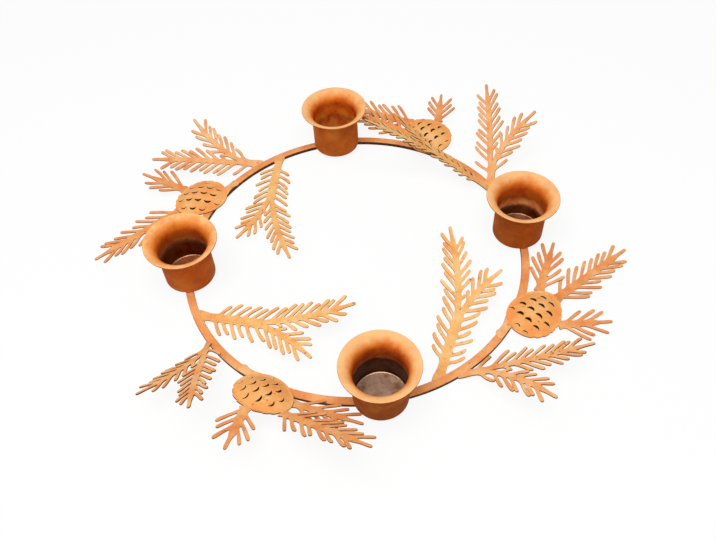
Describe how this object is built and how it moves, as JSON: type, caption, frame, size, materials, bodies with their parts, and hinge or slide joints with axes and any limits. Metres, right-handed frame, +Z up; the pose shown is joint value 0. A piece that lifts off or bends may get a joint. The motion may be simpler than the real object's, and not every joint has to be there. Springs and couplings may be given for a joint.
{
  "type": "advent candle holder",
  "caption": "Rusted steel advent wreath: a flat ring carries flared candle cups, and between them cut-out pine sprigs and domed pine cones.",
  "frame": {"origin": "centre of the ring, on the plane that it stands on", "axes": "+Z up, out of the candle cups' mouths; +X through the right cup and +Y through the back cup"},
  "size_m": [0.4817, 0.4359, 0.07],
  "materials": {
    "rusted_bar": "rust patina under clear lacquer, matt",
    "rusted_sheet": "rust patina under clear lacquer, matt, with greyer cut edges",
    "rusted_cup": "rust patina outside and round the mouth, bare steel floor"
  },
  "bodies": {
    "root": {"ring_bar": "rusted_bar", "candle_cup_right": "rusted_cup", "inner_sprig_right": "rusted_sheet", "outer_sprig_right": "rusted_sheet", "pine_cone_right": "rusted_sheet", "near_twig_right": "rusted_sheet", "far_twig_right": "rusted_sheet", "side_twig_right": "rusted_sheet", "candle_cup_back": "rusted_cup", "inner_sprig_back": "rusted_sheet", "outer_sprig_back": "rusted_sheet", "pine_cone_back": "rusted_sheet", "near_twig_back": "rusted_sheet", "far_twig_back": "rusted_sheet", "side_twig_back": "rusted_sheet", "candle_cup_left": "rusted_cup", "inner_sprig_left": "rusted_sheet", "outer_sprig_left": "rusted_sheet", "pine_cone_left": "rusted_sheet", "near_twig_left": "rusted_sheet", "far_twig_left": "rusted_sheet", "side_twig_left": "rusted_sheet", "candle_cup_front": "rusted_cup", "inner_sprig_front": "rusted_sheet", "outer_sprig_front": "rusted_sheet", "pine_cone_front": "rusted_sheet", "near_twig_front": "rusted_sheet", "far_twig_front": "rusted_sheet", "side_twig_front": "rusted_sheet"}
  },
  "joints": []
}
